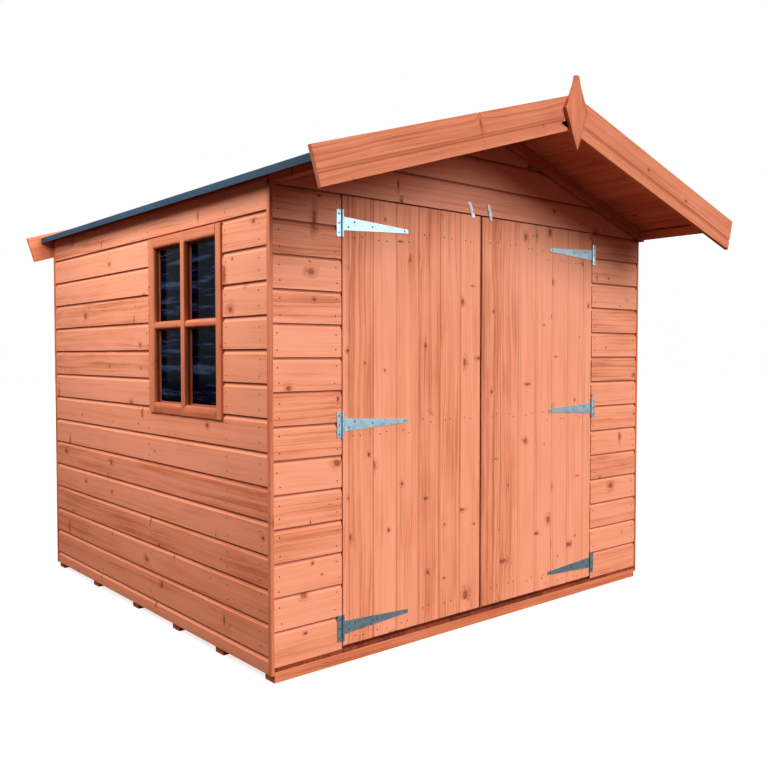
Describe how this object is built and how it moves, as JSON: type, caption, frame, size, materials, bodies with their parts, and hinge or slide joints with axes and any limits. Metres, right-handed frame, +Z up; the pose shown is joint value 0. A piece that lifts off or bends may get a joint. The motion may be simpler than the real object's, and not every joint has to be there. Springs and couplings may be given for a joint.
{
  "type": "wooden garden shed",
  "caption": "Apex-roofed garden shed of horizontal softwood boards, with double ledged doors under a deep front overhang, a side window and a felted roof.",
  "frame": {"origin": "at ground level under the middle of the whole shed's plan, roof and finials included", "axes": "+X along the front to the right, +Y from the front to the back, +Z up; the doors face -Y"},
  "size_m": [2.388, 2.523, 2.1327],
  "materials": {
    "stained_boards": "dip-stained softwood shiplap boards",
    "stained_timber": "dip-stained sawn and planed softwood",
    "floor_timber": "stained softwood boards",
    "galvanised_steel": "galvanised pressed steel",
    "bright_steel": "zinc-plated steel",
    "roofing_felt": "mineral-faced bitumen felt",
    "window_glass": "clear glazing over a dark inside"
  },
  "bodies": {
    "root": {"floor_bearers": "stained_timber", "floor_deck": "floor_timber", "front_wall_left": "stained_boards", "front_wall_right": "stained_boards", "front_gable": "stained_boards", "left_wall": "stained_boards", "right_wall": "stained_boards", "back_wall": "stained_boards", "front_frame": "stained_timber", "left_frame": "stained_timber", "right_frame": "stained_timber", "back_frame": "stained_timber", "corner_battens": "stained_timber", "threshold": "stained_timber", "window_frame": "stained_timber", "window_bars": "stained_timber", "window_glass": "window_glass", "roof_boards_left": "floor_timber", "roof_boards_right": "floor_timber", "ridge_beam": "stained_timber", "roof_frame_left": "stained_timber", "roof_frame_right": "stained_timber", "roof_felt_left": "roofing_felt", "roof_felt_right": "roofing_felt", "ridge_felt": "roofing_felt", "front_bargeboard_left": "stained_boards", "front_bargeboard_right": "stained_boards", "back_bargeboard_left": "stained_boards", "back_bargeboard_right": "stained_boards", "front_finial": "stained_timber", "back_finial": "stained_timber", "left_hinge_plates": "galvanised_steel", "right_hinge_plates": "galvanised_steel", "turn_button_screws": "bright_steel"},
    "left_door": {"left_door_boards": "stained_boards", "left_door_ledges": "stained_timber", "left_door_straps": "galvanised_steel"},
    "right_door": {"right_door_boards": "stained_boards", "right_door_ledges": "stained_timber", "right_door_straps": "galvanised_steel"},
    "left_button": {"left_turn_button": "bright_steel"},
    "right_button": {"right_turn_button": "bright_steel"}
  },
  "joints": [
    {"name": "left_door_hinge", "type": "hinge", "parent": "root", "child": "left_door", "pos_m": [-0.7685, -0.8374, 0.855], "axis": [0, 0, -1], "range_deg": [0, 100]},
    {"name": "right_door_hinge", "type": "hinge", "parent": "root", "child": "right_door", "pos_m": [0.6905, -0.8374, 0.855], "axis": [0, 0, 1], "range_deg": [0, 100]},
    {"name": "left_button_turn", "type": "hinge", "parent": "root", "child": "left_button", "pos_m": [-0.117, -0.834, 1.684], "axis": [0, -1, 0], "range_deg": [-114, 66]},
    {"name": "right_button_turn", "type": "hinge", "parent": "root", "child": "right_button", "pos_m": [-0.009, -0.834, 1.684], "axis": [0, -1, 0], "range_deg": [-105, 75]}
  ]
}
